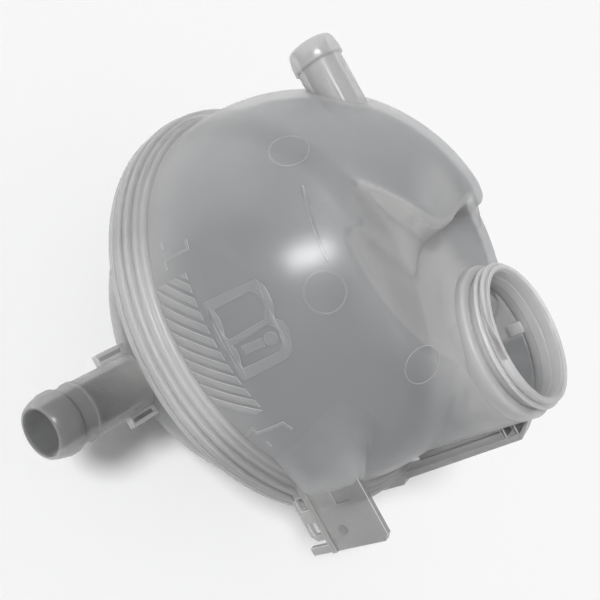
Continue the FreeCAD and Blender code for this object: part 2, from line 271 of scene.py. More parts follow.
def milkyPlastic(name, darkColour, lightColour, see, rough, cloud, deep, paleMap=False):
    material, shader = newMaterial(name)
    tree = material.node_tree
    start = Wire(tree, None)
    place = start.node("ShaderNodeTexCoord", {}, {}, out="Object")
    clouds = start.node(
        "ShaderNodeTexNoise", {}, {"Vector": place, "Scale": cloud, "Detail": milk["cloudDetail"]})
    grain = start.node(
        "ShaderNodeTexNoise", {},
        {"Vector": place, "Scale": milk["grain"], "Roughness": milk["grainRough"]})
    mist = clouds - milk["middle"]
    if paleMap:
        # painted light and shade: the wall attribute, with cloud mottle on it, sets how pale the colour is
        wall = start.node("ShaderNodeAttribute", {"attribute_name": "wall"}, {}, out="Fac")
        paler = wall + mist * milk["wallCloud"]
    else:
        paler = mist * milk["cloudShare"] + milk["middle"]
    share = start.node(
        "ShaderNodeMapRange", {"interpolation_type": "SMOOTHSTEP"}, {0: paler, 1: 0.0, 2: 1.0})
    colour = start.node("ShaderNodeMix", {"data_type": "RGBA"}, {0: share, 6: darkColour, 7: lightColour}, out=2)
    gloss = rough + mist * milk["glossCloud"] + (grain - milk["middle"]) * milk["glossGrain"]
    clear = see + mist * milk["clearCloud"]
    bump = start.node(
        "ShaderNodeBump", {}, {"Strength": milk["bump"], "Distance": milk["bumpDeep"], "Height": grain})
    fed = {"Base Color": colour, "Roughness": gloss, "Alpha": clear, "Normal": bump}
    for key, wire in fed.items():
        tree.links.new(wire.socket, shader.inputs[key])
    for key, value in milk["inputs"].items():
        shader.inputs[key].default_value = value
    shader.inputs["Subsurface Scale"].default_value = deep
    return material


shellPlastic = milkyPlastic(
    "milky_shell", (0.37, 0.378, 0.39, 1), (0.64, 0.635, 0.63, 1),
    see=0.52, rough=0.25, cloud=16.0, deep=0.005, paleMap=True)
# painted shade: a dark plastic for the faces inside the tank
innerShadePlastic = milkyPlastic(
    "milky_inner_shade", (0.1, 0.106, 0.115, 1), (0.14, 0.146, 0.156, 1),
    see=0.5, rough=0.35, cloud=20.0, deep=0.004)
# painted light and shade: the neck's bore, pale where light comes through the well, dark on the shaded side
throatLightAndShadePlastic = milkyPlastic(
    "milky_throat_light_and_shade", (0.1, 0.106, 0.116, 1), (0.31, 0.31, 0.312, 1),
    see=0.7, rough=0.35, cloud=20.0, deep=0.004, paleMap=True)
# painted shade: a nearly black plastic for the inside of the spigots' bores
boreShadePlastic = milkyPlastic(
    "milky_bore_shade", (0.05, 0.051, 0.053, 1), (0.08, 0.081, 0.083, 1),
    see=0.8, rough=0.4, cloud=40.0, deep=0.003)
bowlPlastic = milkyPlastic(
    "milky_bowl", (0.26, 0.263, 0.268, 1), (0.44, 0.44, 0.44, 1),
    see=0.64, rough=0.25, cloud=16.0, deep=0.005, paleMap=True)
ringPlastic = milkyPlastic(
    "milky_ring", (0.34, 0.34, 0.343, 1), (0.57, 0.57, 0.57, 1),
    see=0.6, rough=0.3, cloud=30.0, deep=0.005, paleMap=True)
neckPlastic = milkyPlastic(
    "milky_neck", (0.5, 0.5, 0.505, 1), (0.9, 0.893, 0.893, 1),
    see=0.64, rough=0.3, cloud=40.0, deep=0.006, paleMap=True)
ventPlastic = milkyPlastic(
    "milky_vent", (0.52, 0.52, 0.525, 1), (0.6, 0.6, 0.6, 1),
    see=0.6, rough=0.2, cloud=45.0, deep=0.004)
outletPlastic = milkyPlastic(
    "milky_outlet", (0.26, 0.26, 0.262, 1), (0.56, 0.556, 0.55, 1),
    see=0.6, rough=0.26, cloud=45.0, deep=0.004, paleMap=True)
ribPlastic = milkyPlastic(
    "milky_rib", (0.19, 0.189, 0.188, 1), (0.4, 0.397, 0.394, 1),
    see=0.6, rough=0.3, cloud=60.0, deep=0.003, paleMap=True)
railPlastic = milkyPlastic(
    "milky_rail", (0.105, 0.103, 0.102, 1), (0.155, 0.152, 0.15, 1),
    see=0.55, rough=0.3, cloud=60.0, deep=0.003)
# painted light: a pale plastic for the light lines that rounded edges show
edgeLightPlastic = milkyPlastic(
    "milky_edge_light", (0.48, 0.48, 0.48, 1), (0.56, 0.557, 0.554, 1),
    see=0.68, rough=0.3, cloud=60.0, deep=0.003)
print("materials made")

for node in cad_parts.values():
    paint(node, ringPlastic)


# Soft zones: a pair of ends says where a weight starts and where it is full.

def fadeIn(value, ends):
    low, high = ends
    share = min(max((value - low) / (high - low), 0.0), 1.0)
    return share * share * (3 - 2 * share)


def fadeOut(value, ends):
    return 1 - fadeIn(value, ends)


def atLeast(least, share):
    return least + (1 - least) * share


# writes the wall attribute: how pale each point is painted, on most pieces painted light and shade
def setPaleMap(piece, paleAt):
    wall = piece.data.attributes.new("wall", "FLOAT", "POINT")
    for vertex in piece.data.vertices:
        wall.data[vertex.index].value = paleAt(vertex)


def neckPolar(arm):
    # distance from the neck's axis, and the turn away from the middle of the tongue
    across = neckAxis - ballCentre
    x, y = across.x - arm.x, arm.y - across.y
    return hypot(x, y), degrees(atan2(abs(y), x))


# The bracket's root flows out of the dome: a hull between the ball's skin and the plate,
# welded to the shell before the skin is smoothed.
rootBlend = {
    "rises": (0.0, 12.0, 24.2), "front": -8.0, "back": 12.0, "tip": -14.5, "tipFront": -1.1, "tipBack": 2.2,
    "apexRise": 36.0, "apexFront": -5.0, "apexBack": 8.0, "sunk": 0.5, "plateHalf": 1.0}


def makeRootBlend():
    ball = ballRadius / mm
    middle = ballCentre / mm
    points = []

    def skinPoint(rise, lean):
        span = sqrt(ball ** 2 - rise ** 2)
        angle = radians(lean) - asin((middle.y + rootBlend["plateHalf"]) / span)
        span -= rootBlend["sunk"]
        return Vector((middle.x + span * cos(angle), middle.y + span * sin(angle), rise))

    for rise in rootBlend["rises"]:
        points += [skinPoint(rise, rootBlend["front"]), skinPoint(rise, rootBlend["back"])]
        points += [Vector((rootBlend["tip"], rootBlend[side], rise)) for side in ("tipFront", "tipBack")]
    points += [skinPoint(rootBlend["apexRise"], rootBlend[lean]) for lean in ("apexFront", "apexBack")]
    deselect()
    bpy.ops.mesh.primitive_circle_add(vertices=len(points), radius=ballRadius)
    hull = bpy.context.object
    hull.name = "bracket_root"
    for vertex, point in zip(hull.data.vertices, points):
        vertex.co = point * mm
    editAll(hull)
    bpy.ops.mesh.convex_hull()
    bpy.ops.mesh.normals_make_consistent(inside=False)
    objectMode()
    return hull


# Dome: the shell with its cap well, tongue and column, edges softened as moulded.
dome = {
    "voxel": 0.8 * mm, "turns": 14, "by": 0.5, "foldTurns": 90, "endTurns": 130, "leastWeight": 0.02,
    "wall": 3.0 * mm, "snap": 0.35 * mm, "snapFull": 0.4, "floor": 57 * mm, "throat": 26 * mm,
    "inwards": -0.3,
    # where the skin is smoothed more: the bracket's root, the well's folds and the tongue's end
    "root": {
        "side": -3 * mm, "sideEnds": (9 * mm, 14 * mm), "start": (-52 * mm, -44 * mm),
        "rise": 18 * mm, "riseEnds": (18 * mm, 26 * mm)},
    "fold": {
        "floor": (7 * mm, 12 * mm), "rimTurn": (34, 41), "rimReach": (72 * mm, 80 * mm),
        "deep": (2.5 * mm, 6 * mm), "endShare": 0.7, "endReach": (52 * mm, 60 * mm),
        "clear": (29.5 * mm, 32 * mm), "rise": (44 * mm, 50 * mm),
        "tipSharp": 0.95, "tipReach": (54 * mm, 66 * mm), "tipTurn": (35, 40)},
    "end": {
        "start": (36 * mm, 42 * mm), "stop": (56 * mm, 64 * mm), "turn": (34, 42),
        "rise": (56 * mm, 62 * mm)},
    # the rise of the well's floor round the column
    "foot": {
        "column": 28 * mm, "wide": 4.5 * mm, "high": 2.0 * mm, "most": 1.2, "slack": 2.5 * mm,
        "turn": (65, 90), "facing": 0.5},
    # painted light and shade: how pale each part is painted, and where
    "tones": {
        "ring": 0.5, "ringRise": (-7.5 * mm, 22 * mm), "side": 0.45, "sideEnds": (5 * mm, ballRadius),
        "low": 0.22, "lowRise": (8 * mm, 30 * mm), "lowSide": (60 * mm, 73 * mm),
        "throat": (3 * mm, 7.5 * mm), "shade": (-1 * mm, 18 * mm), "wallLean": (0.3, 0.5),
        "ledge": 0.66, "ledgeLean": (0.02, 0.13), "sunk": (0.3 * mm, 1.2 * mm),
        "well": 0.64, "wellDeep": (3 * mm, 8 * mm), "wellRise": (50 * mm, 55 * mm),
        "columnFold": 0.4, "columnClear": (28.5 * mm, 34 * mm),
        "column": 0.3, "columnReach": (30 * mm, 50 * mm), "columnRise": (30 * mm, 50 * mm),
        "high": 0.42, "highRise": (45 * mm, 58 * mm), "tongueShare": 0.2, "tongueTurn": (24, 38),
        "end": 0.42, "endReach": (60 * mm, 74 * mm), "endSide": (-12 * mm, 6 * mm),
        "endTurn": (26, 32), "endRise": (68 * mm, 72 * mm),
        "root": 0.35, "rootOut": (1.5 * mm, 7 * mm), "rootFold": 0.3, "rootRise": (40 * mm, 50 * mm)}}


def rootWeight(place):
    zone = dome["root"]
    across = fadeOut(abs(place.y - zone["side"]), zone["sideEnds"]) * fadeIn(place.x, zone["start"])
    return across * fadeOut(abs(place.z - zone["rise"]), zone["riseEnds"])


def foldWeight(place):
    zone = dome["fold"]
    arm = place - ballCentre
    reach, turn = neckPolar(arm)
    nearFloor = fadeOut(abs(arm.z - dome["floor"]), zone["floor"])
    rim = fadeIn(turn, zone["rimTurn"]) * nearFloor * fadeOut(reach, zone["rimReach"])
    deep = fadeIn(ballRadius - arm.length, zone["deep"])
    end = zone["endShare"] * fadeOut(reach, zone["endReach"])
    well = max(rim, deep, end) * fadeIn(reach, zone["clear"]) * fadeIn(arm.z, zone["rise"])
    # the flank stays sharp where it runs out into the ball
    well *= 1 - zone["tipSharp"] * fadeIn(reach, zone["tipReach"]) * fadeOut(turn, zone["tipTurn"])
    return max(well, rootWeight(place))


def endWeight(place):
    # the end of the tongue rolls over softly
    zone = dome["end"]
    arm = place - ballCentre
    reach, turn = neckPolar(arm)
    along = fadeIn(reach, zone["start"]) * fadeOut(reach, zone["stop"])
    return along * fadeOut(turn, zone["turn"]) * fadeIn(arm.z, zone["rise"])


def footRise(place):
    foot = dome["foot"]
    arm = place - ballCentre
    reach, turn = neckPolar(arm)
    near = (foot["column"] + foot["wide"] - reach) / foot["wide"]
    if not 0 < near < foot["most"] or abs(arm.z - dome["floor"]) > foot["slack"]:
        return 0
    return foot["high"] * near ** 2 * fadeOut(turn, foot["turn"])


def inThroat(arm):
    return arm.z > 0 and neckPolar(arm)[0] < dome["throat"]


def paintedLightAt(arm):
    # painted light: how pale the plain ball is painted at a point, measured from its centre;
    # paler by the weld, towards the vent's side and low on the outlet's side
    tones = dome["tones"]
    ring = fadeOut(arm.z, tones["ringRise"]) * tones["ring"]
    side = fadeIn(-arm.x, tones["sideEnds"]) * tones["side"]
    low = fadeOut(arm.z, tones["lowRise"]) * fadeIn(-arm.y, tones["lowSide"]) * tones["low"]
    return ring + side + low


def domePaintedLight(vertex):
    # painted light and shade: how pale the shell is painted in its throat, folds, well, column, top, tongue
    # end and root
    tones = dome["tones"]
    arm = vertex.co - ballCentre
    reach, turn = neckPolar(arm)
    if inThroat(arm):
        return fadeOut(vertex.co.x - neckAxis.x, tones["throat"])
    lean = 1 - abs(vertex.normal.dot(arm.normalized()))
    depth = ballRadius - arm.length
    # painted shade: the far side lies in the shade and is painted darker
    near = fadeOut(arm.y, tones["shade"])
    upper = fadeIn(arm.z, tones["wellRise"])
    well = tones["well"] * fadeIn(depth, tones["wellDeep"]) * upper * near
    sunk = fadeIn(depth, tones["sunk"]) * upper
    ledge = tones["ledge"] * max(sunk, fadeIn(lean, tones["ledgeLean"]))
    fold = max(fadeIn(lean, tones["wallLean"]), ledge) * near
    # folds are less pale on the column and at the bracket's root
    fold *= atLeast(tones["columnFold"], fadeIn(reach, tones["columnClear"]))
    fold *= atLeast(tones["rootFold"], fadeIn(arm.z, tones["rootRise"]))
    column = tones["column"] * fadeOut(reach, tones["columnReach"]) * fadeIn(arm.z, tones["columnRise"])
    high = tones["high"] * fadeIn(arm.z, tones["highRise"]) * near
    high *= atLeast(tones["tongueShare"], fadeIn(turn, tones["tongueTurn"]))
    end = tones["end"] * fadeOut(reach, tones["endReach"]) * fadeOut(arm.y, tones["endSide"])
    end *= fadeOut(turn, tones["endTurn"]) * fadeIn(arm.z, tones["endRise"])
    root = tones["root"] * fadeIn(-depth, tones["rootOut"]) * rootWeight(vertex.co)
    return min(1.0, max(fold, well, root, paintedLightAt(arm) + high + end) + column)


def paintInsideShade(piece):
    # painted shade: faces that look towards the ball's centre are painted dark for the shade inside the
    # tank, and faces into the neck's bore take the throat's painted light and shade; all are seen only
    # through the wall or a mouth
    paint(piece, piece.data.materials[0], innerShadePlastic, throatLightAndShadePlastic)
    for face in piece.data.polygons:
        arm = face.center - ballCentre
        if inThroat(arm):
            face.material_index = 2
        elif face.normal.dot(arm.normalized()) < dome["inwards"]:
            face.material_index = 1


def makeDome():
    piece = joinAll("dome_shell", [copyOfNode("upper_shell", "dome_shell"), makeRootBlend()])
    addModifier(piece, "REMESH", mode="VOXEL", voxel_size=dome["voxel"], use_smooth_shade=True)
    applyModifiers(piece)
    for name, weightAt, turns in (("folds", foldWeight, "foldTurns"), ("end", endWeight, "endTurns")):
        group = piece.vertex_groups.new(name=name)
        for vertex in piece.data.vertices:
            weight = weightAt(vertex.co)
            if weight > dome["leastWeight"]:
                group.add([vertex.index], weight, "REPLACE")
        addModifier(piece, "SMOOTH", factor=dome["by"], iterations=dome[turns], vertex_group=name)
    addModifier(piece, "SMOOTH", factor=dome["by"], iterations=dome["turns"])
    applyModifiers(piece)
    # the well's floor rises to the collar, and the rest of the skin goes back onto the true ball
    foot = [
        vertex for vertex in piece.data.vertices
        if vertex.normal.z > dome["foot"]["facing"] and footRise(vertex.co) > 0]
    for vertex in foot:
        vertex.co.z += footRise(vertex.co)
    snapEnds = (dome["snapFull"] * dome["snap"], dome["snap"])
    for vertex in piece.data.vertices:
        arm = vertex.co - ballCentre
        for radius in (ballRadius, ballRadius - dome["wall"]):
            off = abs(arm.length - radius)
            if off < dome["snap"]:
                vertex.co += arm.normalized() * (radius - arm.length) * fadeOut(off, snapEnds)
    setPaleMap(piece, domePaintedLight)
    paint(piece, shellPlastic)
    paintInsideShade(piece)
    settle(piece, "upper_shell")


makeDome()


# Bowl under the weld.
bowl = {
    "wall": 3.0 * mm, "top": -8.3 * mm, "outletBore": 7.2 * mm, "outletX": -77.2 * mm,
    "outletZ": -30.7 * mm, "boreSides": 96, "boreDeep": 100 * mm,
    "lowPale": 0.1, "highPale": 0.25, "paleFrom": -30 * mm}


def makeBowl():
    deselect()
    piece = addBall(ballRadius)
    piece.name = "bowl_shell"
    bpy.ops.object.transform_apply(location=True)
    editAll(piece)
    bpy.ops.mesh.bisect(
        plane_co=(0, 0, bowl["top"]), plane_no=(0, 0, 1), use_fill=False, clear_outer=True)
    objectMode()
    addModifier(piece, "SOLIDIFY", thickness=bowl["wall"], offset=-1.0)
    applyModifiers(piece)
    bpy.ops.mesh.primitive_cylinder_add(
        vertices=bowl["boreSides"], radius=bowl["outletBore"], depth=bowl["boreDeep"],
        rotation=(pi / 2, 0, 0), location=(bowl["outletX"], ballCentre.y - ballRadius, bowl["outletZ"]))
    carve(piece, bpy.context.object)
    rise = bowl["highPale"] - bowl["lowPale"]
    ends = (bowl["paleFrom"], bowl["top"])
    setPaleMap(piece, lambda vertex: bowl["lowPale"] + rise * fadeIn(vertex.co.z, ends))
    smoothShade(piece)
    paint(piece, bowlPlastic)
    paintInsideShade(piece)
    settle(piece, "lower_shell")


makeBowl()


# Weld rings, with the ridges that the weld tool grips.
weldRing = {
    "segments": 288, "paleTurn": -96, "turnEnds": (10, 44), "ventShare": 0.55,
    "ventEnds": (-60 * mm, 40 * mm)}
upperRing = {"bevel": 0.3 * mm, "pale": 0.95, "profile": [
    (74.2, -7.5), (82, -7.5), (82, -4.5), (80.6, -4.4), (80.5, -3.5), (81.2, -3.3), (81.2, -1.5),
    (79.4, -1.2), (79.1, 0.4), (77.8, 0.8), (77.4, 1.9), (76.4, 2.2), (74.2, 2.2)]}
lowerRing = {"bevel": 0.5 * mm, "pale": 0.6, "profile": [
    (73.8, -10.5), (82, -10.5), (82, -8.3), (73.8, -8.3)]}


def ringPaintedLight(arm):
    # painted light: palest on the outlet's side, and about half as pale on the vent's
    away = abs(degrees(atan2(arm.y, arm.x)) - weldRing["paleTurn"])
    ventSide = weldRing["ventShare"] * fadeOut(arm.x, weldRing["ventEnds"])
    return max(fadeOut(away, weldRing["turnEnds"]), ventSide)


def makeRing(name, settings, node):
    piece = lathe(name, settings["profile"], weldRing["segments"])
    piece.location = ballCentre
    paint(piece, ringPlastic)
    softenEdges(piece, settings["bevel"], edgeSlot=0)
    settle(piece, node)
    setPaleMap(piece, lambda vertex: settings["pale"] * ringPaintedLight(vertex.co - ballCentre))


makeRing("weld_ring_upper", upperRing, "upper_flange")
makeRing("weld_ring_lower", lowerRing, "lower_flange")


# Filler neck with its thread, and a small tab that hangs inside.
neck = {
    "collar": [(24.5, 56.6), (28, 56.6), (28, 61.3), (27.5, 61.9), (25.4, 62.3), (24.5, 62.3)],
    "tube": [
        (24.4, 57), (24.4, 62.9), (25, 63), (25, 68.5), (24.8, 69.1), (24.2, 69.5), (23.6, 69.5),
        (23.2, 69.2), (23.0, 68.3), (22.6, 68.0), (22.5, 64.5), (22.3, 64.3), (22.3, 61), (22.7, 60.6),
        (23.6, 58.6), (24.2, 57)],
    "segments": 192, "collarBevel": 0.3 * mm, "tubeBevel": 0.15 * mm, "threadBevel": 0.25 * mm,
    "threadLow": 63.5, "pitch": 2.7, "turns": 1.75, "root": 24.8, "crest": 26.3,
    "footHalf": 1.1, "crestHalf": 0.35, "steps": 220, "taper": (0, 22),
    "tabTurn": radians(84), "tabReach": 22.9 * mm, "tabRise": 55.6 * mm, "tabSize": (1.6, 4.5, 5.6),
    "tabBevel": 0.3 * mm,
    "inside": 24.3 * mm, "insideTop": 68.8 * mm, "borePale": 0.1, "lowPale": 1.0,
    "boreEnds": (60.5 * mm, 61.5 * mm), "collarPale": 0.2, "paleEnds": (-16 * mm, 22 * mm)}


def neckPaintedLight(vertex):
    spot = vertex.co - neckAxis
    # painted light and shade: the bore is painted dark, and its low chamfer, which lies in shade, pale
    if hypot(spot.x, spot.y) < neck["inside"] and spot.z < neck["insideTop"]:
        return neck["lowPale"] + (neck["borePale"] - neck["lowPale"]) * fadeIn(spot.z, neck["boreEnds"])
    # painted light: paler on the side of the tongue, where light comes through the well
    return fadeOut(spot.x, neck["paleEnds"])


def makeThread():
    # the thread starts as one small trapezoid and is screwed up the neck
    deselect()
    bpy.ops.mesh.primitive_plane_add(size=1)
    thread = bpy.context.object
    thread.name = "neck_thread"
    low, root = neck["threadLow"], neck["root"] * mm
    corners = [
        (neck["root"], low - neck["footHalf"]), (neck["crest"], low - neck["crestHalf"]),
        (neck["crest"], low + neck["crestHalf"]), (neck["root"], low + neck["footHalf"])]
    for index, (radius, height) in zip((0, 1, 3, 2), corners):
        thread.data.vertices[index].co = Vector((radius, 0, height)) * mm
    editAll(thread)
    bpy.ops.mesh.delete(type="ONLY_FACE")
    objectMode()
    addModifier(
        thread, "SCREW", angle=2 * pi * neck["turns"], screw_offset=neck["pitch"] * neck["turns"] * mm,
        steps=neck["steps"], render_steps=neck["steps"], use_merge_vertices=False)
    applyModifiers(thread)
    for vertex in thread.data.vertices:
        step = vertex.index // len(corners)
        share = fadeIn(min(step, neck["steps"] - step), neck["taper"])
        reach = hypot(vertex.co.x, vertex.co.y)
        wanted = root + (reach - root) * share
        vertex.co.x *= wanted / reach
        vertex.co.y *= wanted / reach
    editAll(thread)
    bpy.ops.mesh.select_all(action="DESELECT")
    bpy.ops.mesh.select_mode(type="EDGE")
    bpy.ops.mesh.select_non_manifold(extend=False)
    bpy.ops.mesh.edge_face_add()
    bpy.ops.mesh.select_all(action="SELECT")
    bpy.ops.mesh.normals_make_consistent(inside=False)
    objectMode()
    paint(thread, neckPlastic)
    softenEdges(thread, neck["threadBevel"], edgeSlot=0)
    return thread


def makeTab():
    deselect()
    turn, reach = neck["tabTurn"], neck["tabReach"]
    bpy.ops.mesh.primitive_cube_add(
        size=mm, rotation=(0, 0, turn), location=(reach * cos(turn), reach * sin(turn), neck["tabRise"]))
    tab = bpy.context.object
    tab.scale = neck["tabSize"]
    bpy.ops.object.transform_apply(location=True, rotation=True, scale=True)
    paint(tab, ringPlastic)
    softenEdges(tab, neck["tabBevel"], edgeSlot=0)
    return tab


def makeNeck():
    collar = lathe("neck_collar_ring", neck["collar"], neck["segments"])
    collar.location = neckAxis
    paint(collar, neckPlastic)
    softenEdges(collar, neck["collarBevel"], edgeSlot=0)
    settle(collar, "neck_collar")
    setPaleMap(collar, lambda vertex: neck["collarPale"] * neckPaintedLight(vertex))
    tube = lathe("neck_tube", neck["tube"], neck["segments"])
    # painted light: the tube's bevelled edges take the pale edge plastic
    paint(tube, neckPlastic, edgeLightPlastic)
    softenEdges(tube, neck["tubeBevel"])
    piece = joinAll("neck_tube", [tube, makeThread(), makeTab()])
    piece.location = neckAxis
    settle(piece, "filler_neck")
    setPaleMap(piece, neckPaintedLight)


makeNeck()


# Hose spigots.
spigot = {"root": ballRadius - 1.5 * mm, "sharp": 24, "inwards": -0.5, "bevel": 0.15 * mm}
vent = {
    "segments": 96, "plastic": ventPlastic, "turn": (0, -pi / 2, 0),
    "place": (ballCentre.x, ballCentre.y, 51 * mm),
    "profile": [
        (6, 40), (8.3, 40), (8.3, 66.1), (8.5, 66.4), (9.1, 66.9), (9.1, 69.6), (8.5, 72.6),
        (8.1, 73.7), (7.6, 74), (6.7, 74), (6.2, 73.7), (6, 73)]}
outlet = {
    "segments": 112, "plastic": outletPlastic, "turn": (pi / 2, 0, 0),
    "place": (bowl["outletX"], ballCentre.y, bowl["outletZ"]),
    "pale": 0.9, "paleEnds": (-39 * mm, -24 * mm),
    "profile": [
        (7.2, 58), (9.6, 58), (9.6, 93.8), (10.1, 94.1), (10.1, 95.3), (9.6, 95.6), (9.6, 100.1),
        (9.8, 100.5), (10.6, 101.4), (10.6, 103.8), (9.7, 106.9), (9.0, 108.6), (8.6, 109), (7.9, 109),
        (7.4, 108.7), (7.2, 108)]}


def makeSpigot(name, settings, node):
    piece = lathe(name, settings["profile"], settings["segments"])
    # painted light and shade: bevelled edges take the pale edge plastic, faces inside the bore the dark
    # bore plastic
    paint(piece, settings["plastic"], edgeLightPlastic, boreShadePlastic)
    for face in piece.data.polygons:
        radial = Vector((face.center.x, face.center.y, 0)).normalized()
        if face.normal.dot(radial) < spigot["inwards"]:
            face.material_index = 2
    piece.rotation_euler = settings["turn"]
    piece.location = settings["place"]
    activate(piece)
    bpy.ops.object.transform_apply(location=True, rotation=True)
    # the root ends inside the shell's wall
    carve(piece, addBall(spigot["root"]))
    softenEdges(piece, spigot["bevel"], sharp=spigot["sharp"])
    settle(piece, node)
    if "pale" in settings:
        # painted light: paler towards its root, which lies in the dome's shade
        setPaleMap(piece, lambda vertex: settings["pale"] * fadeIn(vertex.co.y, settings["paleEnds"]))


makeSpigot("vent_tube", vent, "vent_spigot")
makeSpigot("outlet_tube", outlet, "outlet_spigot")


# Flat ribs, gussets and rail: the solids with moulded edges.
gusset = {
    "bevel": 0.35 * mm, "sink": 0.7 * mm, "rim": 1.3 * mm, "level": 0.99,
    "plastic": outletPlastic, "pale": 0.5}
rail = {"bevel": 0.3 * mm, "plastic": railPlastic}
flatParts = {
    "outlet_gusset_left": gusset, "outlet_gusset_right": gusset,
    "bracket_inner_rib": {"bevel": 0.3 * mm, "plastic": ribPlastic, "plainEdges": True, "pale": 0.8},
    "rail_web": rail, "rail_flange": rail, "rail_top_rib": rail, "rail_lower_rib": rail}


def makeFlatPart(node, settings):
    piece = copyOfNode(node, node + "_moulded")
    mergeFlats(piece)
    # painted light: bevelled edges take the pale edge plastic, unless the part has plain edges
    paint(piece, settings["plastic"], edgeLightPlastic, railPlastic)
    if "sink" in settings:
        pickFaces(piece, lambda face: abs(face.normal.z) > settings["level"])
        bpy.ops.mesh.inset(thickness=settings["rim"], depth=-settings["sink"], use_individual=True)
        objectMode()
        for face in piece.data.polygons:
            face.material_index = 2 if face.select else 0
    softenEdges(piece, settings["bevel"], edgeSlot=0 if "plainEdges" in settings else 1)
    if "pale" in settings:
        setPaleMap(piece, lambda vertex: settings["pale"])
    settle(piece, node)


for node, settings in flatParts.items():
    makeFlatPart(node, settings)


# Hook bracket: its plate starts inside the dome's root, with a pocket and a round boss.
bracket = {
    "bevel": 0.45 * mm, "plateStart": -20 * mm, "legTop": 3 * mm, "cutSize": Vector((40, 20, 40)) * mm,
    "pocketEnd": -11 * mm, "pocketRise": 4 * mm, "pocketTop": 20 * mm,
    "bossPlace": Vector((-2.9, -1.1, 8.5)) * mm, "bossRadius": 1.7 * mm, "bossHeight": 1.0 * mm,
    "bossSides": 40, "bossClear": 1.5, "pale": 0.85, "paleEnds": (-20 * mm, 20 * mm)}


def makeBracket():
    piece = copyOfNode("hook_bracket", "hook_bracket_moulded")
    mergeFlats(piece)
    bpy.ops.mesh.primitive_cube_add(size=1)
    cut = bpy.context.object
    cut.scale = bracket["cutSize"]
    half = bracket["cutSize"] / 2
    cut.location = (bracket["plateStart"] - half.x, 0, bracket["legTop"] + half.z)
    bpy.ops.object.transform_apply(location=True, scale=True)
    carve(piece, cut)
    bpy.ops.mesh.primitive_cylinder_add(
        vertices=bracket["bossSides"], radius=bracket["bossRadius"], depth=bracket["bossHeight"],
        rotation=(pi / 2, 0, 0), location=bracket["bossPlace"])
    boss = bpy.context.object
    bpy.ops.object.transform_apply(location=True, rotation=True)
    piece = joinAll("hook_bracket_moulded", [piece, boss])
    paint(piece, ribPlastic, edgeLightPlastic)
    softenEdges(piece, bracket["bevel"])
    # only the outline shows the painted pale edge light, not the pocket or the boss
    pocketLow = bracket["legTop"] + bracket["pocketRise"]
    bossReach = bracket["bossClear"] * bracket["bossRadius"]
    for face in piece.data.polygons:
        spot = face.center
        inPocket = spot.x < bracket["pocketEnd"] and pocketLow < spot.z < bracket["pocketTop"]
        onBoss = (spot - bracket["bossPlace"]).length < bossReach
        if inPocket or onBoss:
            face.material_index = 0
    settle(piece, "hook_bracket")
    setPaleMap(piece, lambda vertex: bracket["pale"] * fadeOut(vertex.co.x + vertex.co.z, bracket["paleEnds"]))


makeBracket()


# Raised marks on the dome: level band, level tabs, handbook sign, parting line and ejector rings.
# Corners are (turn, rise) pairs on the ball in degrees. The sign's dot adds its radius in degrees,
# and an ejector ring its width in mm.
degreeLength = ballRadius * pi / 180
marks = {
    "middleTurn": -90.0, "middleRise": 15.0, "height": 0.12 * mm, "round": 0.1 * mm, "roundSteps": 1,
    "step": 0.6 * mm, "pale": 0.2, "edgeLean": 0.95, "divisions": 3, "wideFace": 0.6 * mm * mm,
    "smooth": 30, "sharpest": 0.4,
    "stripFirst": -108.4, "stripPitch": 3.43, "stripCount": 12, "stripWide": 1.95, "stripSlant": 11.0,
    "bandLow": 1.2, "bandHigh": 11.7, "bandFrom": -108.0, "bandTo": -71.0,
    "book": [
        (-99.6, 13.4), (-99.2, 27.2), (-97, 28.2), (-94.9, 28.5), (-92.0, 28.3), (-89.6, 27.4),
        (-88.6, 27.0), (-87.3, 28.2), (-85, 28.4), (-82.6, 27.9), (-80, 26.7), (-78.8, 24.8), (-79.6, 13.2),
        (-81.5, 12.7), (-84.5, 13.4), (-87, 13.7), (-88.8, 13.0), (-91, 12.7), (-93.5, 13.5), (-96, 13.8)],
    "pageUpper": [
        (-97.2, 15.0), (-97.4, 25.0), (-96, 26.2), (-94.4, 26.6), (-92, 26.5), (-89.6, 25.2), (-89.4, 15.2),
        (-90.6, 14.7), (-92.9, 15.5), (-95.2, 15.6)],
    "pageLower": [
        (-88.0, 15.1), (-88.2, 25.2), (-87, 26.2), (-85.4, 26.4), (-82.9, 25.9), (-81.1, 24.4),
        (-81.9, 14.6), (-82.8, 14.5), (-84.6, 15.3), (-86.6, 15.6)],
    "signDot": (-84.9, 24.0, 1.45), "dotSteps": 40, "signBar": ((-85.1, 22.0), (-85.7, 17.0)),
    "signWide": 2.6 * mm,
    "tabs": [
        [(-115.6, 13.7), (-113.2, 13.8), (-113.0, 6.5), (-111.0, 6.6)], [(-118.2, 6.5), (-116.1, 6.5)],
        [(-68.1, 5.5), (-66.2, 5.4), (-65.3, 13.0), (-62.6, 13.4)], [(-62.7, 5.3), (-61.1, 5.1)],
        [(-66.4, 1.2), (-68.1, 5.5)]],
    "tabWide": 0.7 * mm,
    "lineFrom": -121, "lineTo": -96, "lineRise": 43.1, "lineWide": 0.5 * mm, "lineSlack": 0.5,
    "ejectors": [(-135, 40.5, 0.3), (-88, 39.5, 0.35), (-47.9, 45, 0.16)], "ejectorRadius": 6.3 * mm,
    "ejectorSteps": 72}
squeeze = cos(radians(marks["middleRise"]))


def flat(turn, rise):
    return Vector(((turn - marks["middleTurn"]) * degreeLength * squeeze, rise * degreeLength))


def flatAll(corners):
    return [flat(*corner) for corner in corners]


def ontoBall(point):
    turn = radians(marks["middleTurn"]) + point.x / (ballRadius * squeeze)
    rise = point.y / ballRadius
    reach = ballRadius + point.z
    return ballCentre + Vector((cos(rise) * cos(turn), cos(rise) * sin(turn), sin(rise))) * reach


